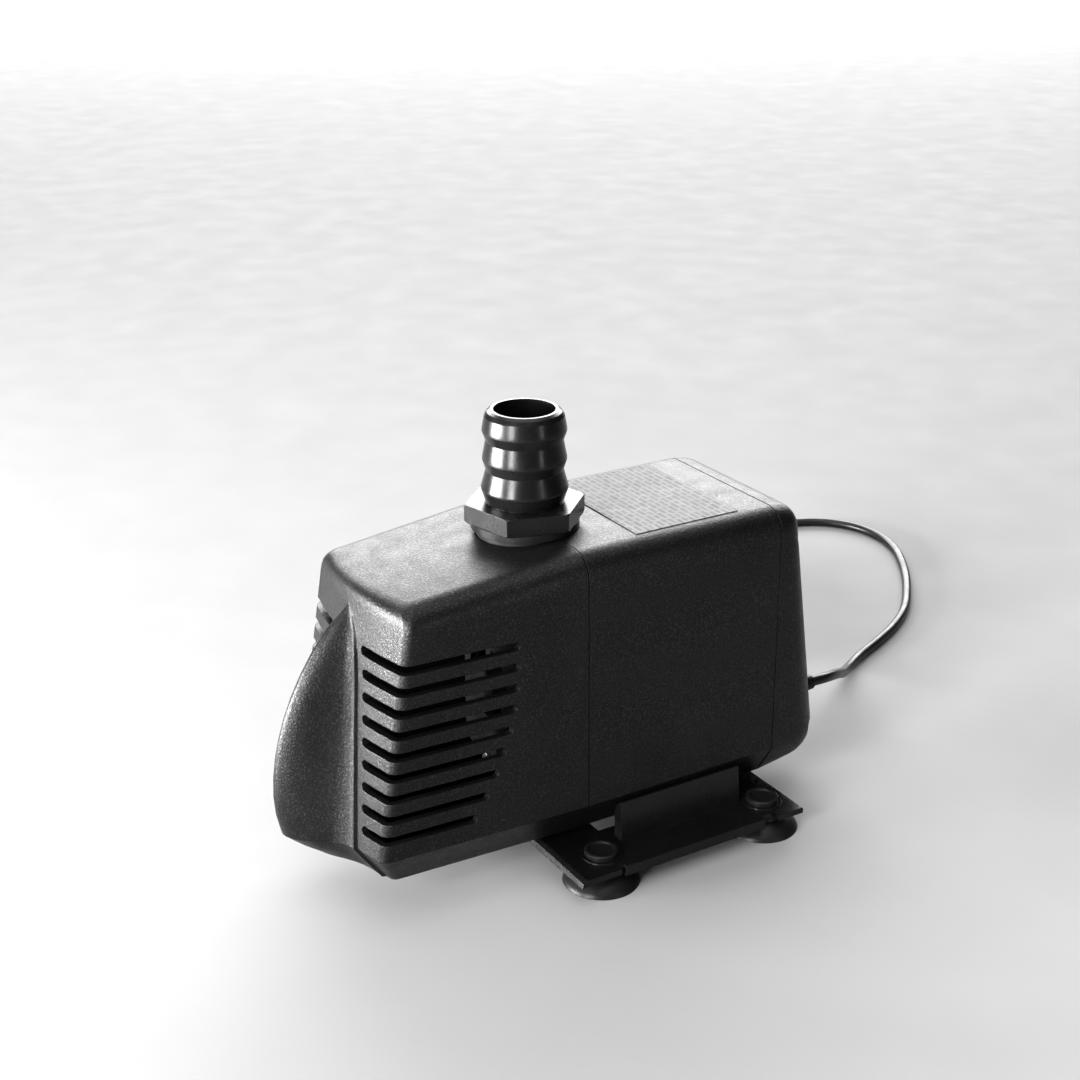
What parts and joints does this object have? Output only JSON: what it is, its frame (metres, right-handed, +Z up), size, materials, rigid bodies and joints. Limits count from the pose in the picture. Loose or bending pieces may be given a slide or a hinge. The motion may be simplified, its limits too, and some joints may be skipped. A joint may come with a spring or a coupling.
{
  "type": "submersible fountain pump",
  "caption": "Wet-rotor fountain pump with a slotted intake cover, a rear motor block, a hose barb on top and a clip-on base plate on suction cups.",
  "frame": {"origin": "centre of the pump's footprint on the ground, under its suction cups, cord left out", "axes": "+X from the nose to the cord, +Y towards the far side, +Z up along the hose barb"},
  "size_m": [0.3764, 0.2323, 0.1524],
  "materials": {
    "body_plastic": "fine spark-textured satin",
    "gloss_plastic": "smooth moulded gloss",
    "rubber_black": "smooth",
    "steel": "satin",
    "label_foil": "printed satin foil",
    "inner_plastic": "satin",
    "impeller_plastic": "satin",
    "magnet": "satin ferrite",
    "ceramic_white": "polished",
    "core_steel": "laminated",
    "copper_wire": "enamelled wire",
    "potting_resin": "cast resin",
    "cord_jacket": "satin jacket",
    "pin_brass": "bright"
  },
  "bodies": {
    "pump_body": {"motor_housing": "body_plastic", "rear_cap": "body_plastic", "cap_screw_1": "steel", "cap_screw_2": "steel", "cap_screw_3": "steel", "cap_screw_4": "steel", "rating_label": "label_foil", "pump_chamber": "inner_plastic", "chamber_cover": "inner_plastic", "chamber_seal": "rubber_black", "chamber_screw_1": "steel", "chamber_screw_2": "steel", "chamber_screw_3": "steel", "impeller_shaft": "ceramic_white", "front_bush": "rubber_black", "rear_bush": "rubber_black", "rotor_can": "inner_plastic", "stator_core": "core_steel", "bobbin_upper": "inner_plastic", "bobbin_lower": "inner_plastic", "winding_upper": "copper_wire", "winding_lower": "copper_wire", "potting_layer": "potting_resin", "thermal_fuse": "steel", "lead_wires": "cord_jacket", "cord_gland": "rubber_black", "strain_relief": "rubber_black", "power_cord": "cord_jacket", "cord_coil": "cord_jacket", "cord_tie": "cord_jacket", "plug_body": "cord_jacket", "plug_pins": "pin_brass"},
    "rotor": {"impeller": "impeller_plastic", "rotor_magnet": "magnet"},
    "cover": {"intake_cover": "body_plastic"},
    "base": {"base_plate": "gloss_plastic", "suction_cup_1": "rubber_black", "suction_cup_2": "rubber_black", "suction_cup_3": "rubber_black", "suction_cup_4": "rubber_black"},
    "outlet_ring": {"outlet_gasket": "rubber_black"},
    "barb": {"hose_barb": "gloss_plastic"}
  },
  "joints": [
    {"name": "impeller_spin", "type": "hinge", "parent": "pump_body", "child": "rotor", "pos_m": [-0.00275, 0, 0.06], "axis": [1, 0, 0], "continuous": true},
    {"name": "cover_slide", "type": "slide", "parent": "pump_body", "child": "cover", "axis": [-1, 0, 0], "range_m": [0, 0.06]},
    {"name": "base_slide", "type": "slide", "parent": "pump_body", "child": "base", "axis": [-1, 0, 0], "range_m": [0, 0.066]},
    {"name": "ring_lift", "type": "slide", "parent": "pump_body", "child": "outlet_ring", "axis": [0, 0, 1], "range_m": [0, 0.008]},
    {"name": "barb_turn", "type": "hinge", "parent": "outlet_ring", "child": "barb", "pos_m": [-0.00545, 0, 0.12], "axis": [0, 0, 1], "range_deg": [0, 1442]}
  ],
  "couplings": [
    {"joint": "barb_turn", "follows": "ring_lift", "rad_per_m": 3141.6}
  ]
}
